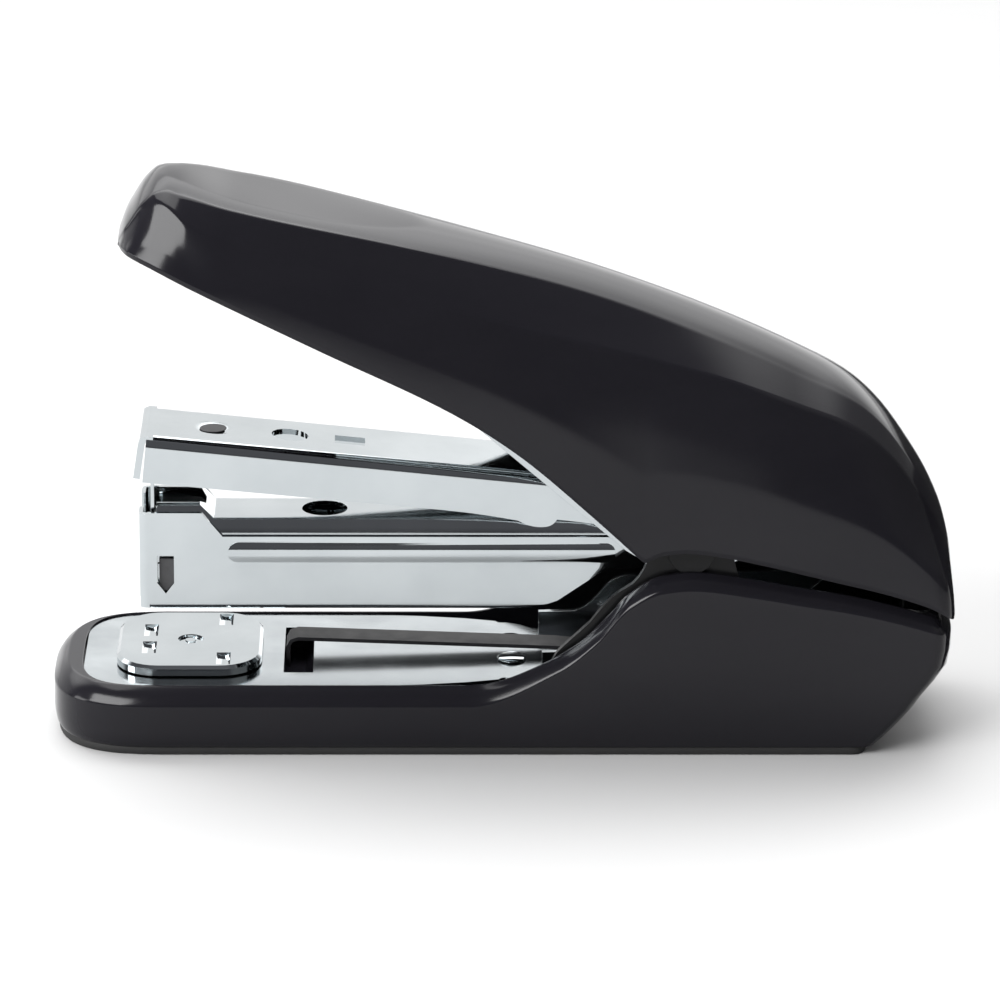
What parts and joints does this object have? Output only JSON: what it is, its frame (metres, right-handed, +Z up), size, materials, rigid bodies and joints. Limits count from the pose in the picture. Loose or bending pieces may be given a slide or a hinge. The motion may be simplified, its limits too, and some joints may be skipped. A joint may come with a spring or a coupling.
{
  "type": "desktop stapler",
  "caption": "Low-effort desktop stapler with a long hinged handle over a driver arm, a staple magazine and a turning anvil on a flat base",
  "frame": {"origin": "centre of the footprint on the surface that the stapler stands on", "axes": "+X from the nose to the heel, +Y across to the far side, +Z up"},
  "size_m": [0.146, 0.0396, 0.0925],
  "materials": {
    "black_plastic": "gloss black moulding",
    "black_rubber": "matt black",
    "chrome": "bright nickel-chrome plating on pressed steel",
    "zinc_steel": "zinc plated",
    "black_steel": "black painted steel",
    "spring_steel": "dark tempered",
    "grey_plastic": "dark grey moulding"
  },
  "bodies": {
    "base": {"base_housing": "black_plastic", "base_sole": "black_rubber", "base_plate": "chrome", "pivot_bracket": "black_steel", "frame_screw_front": "zinc_steel", "frame_screw_rear": "zinc_steel", "plate_rivet_near": "chrome", "plate_rivet_far": "chrome", "lift_spring": "spring_steel", "lift_spring_rivet": "zinc_steel", "main_pivot_pin": "zinc_steel", "handle_pivot_stud_near": "black_steel", "handle_pivot_stud_far": "black_steel", "return_spring": "spring_steel", "anvil_spring": "spring_steel"},
    "anvil": {"anvil_plate": "chrome", "anvil_clip": "spring_steel"},
    "magazine": {"magazine_track": "chrome", "magazine_cover": "chrome", "staple_rail": "chrome", "rail_rivet_front": "zinc_steel", "rail_rivet_rear": "zinc_steel", "front_guide": "chrome", "rod_stop": "zinc_steel", "pusher_rod": "zinc_steel", "pusher_spring": "spring_steel"},
    "pusher": {"staple_pusher": "grey_plastic"},
    "arm": {"driver_arm": "chrome", "driver_blade": "chrome", "blade_rivet": "chrome"},
    "handle": {"handle_cover": "black_plastic", "handle_frame": "chrome", "cover_screw_front": "zinc_steel", "cover_screw_rear": "zinc_steel", "roller_pin": "zinc_steel"},
    "roller": {"press_roller": "zinc_steel"}
  },
  "joints": [
    {"name": "handle_press", "type": "hinge", "parent": "base", "child": "handle", "pos_m": [0.03, 0, 0.034], "axis": [0, -1, 0], "range_deg": [0, 20], "stiffness_Nm_per_rad": 0.3, "springref_deg": -28.65},
    {"name": "magazine_drop", "type": "hinge", "parent": "base", "child": "magazine", "pos_m": [0.06, 0, 0.03], "axis": [0, -1, 0], "range_deg": [0, 3.6]},
    {"name": "arm_press", "type": "hinge", "parent": "magazine", "child": "arm", "pos_m": [0.06, 0, 0.03], "axis": [0, -1, 0], "range_deg": [0, 4.9], "deforming": ["return_spring"]},
    {"name": "pusher_slide", "type": "slide", "parent": "magazine", "child": "pusher", "axis": [1, 0, 0], "range_m": [0, 0.042], "stiffness_N_per_m": 20, "springref_m": -0.05, "deforming": ["pusher_spring"]},
    {"name": "anvil_turn", "type": "hinge", "parent": "base", "child": "anvil", "pos_m": [-0.0508, 0, 0.0129], "axis": [0, 0, 1], "range_deg": [0, 180]},
    {"name": "roller_spin", "type": "hinge", "parent": "handle", "child": "roller", "pos_m": [0.01, 0, 0.04685], "axis": [0, 1, 0], "continuous": true}
  ],
  "couplings": [
    {"joint": "magazine_drop", "follows": "handle_press", "ratio": 0.18},
    {"joint": "arm_press", "follows": "handle_press", "ratio": 0.245}
  ]
}
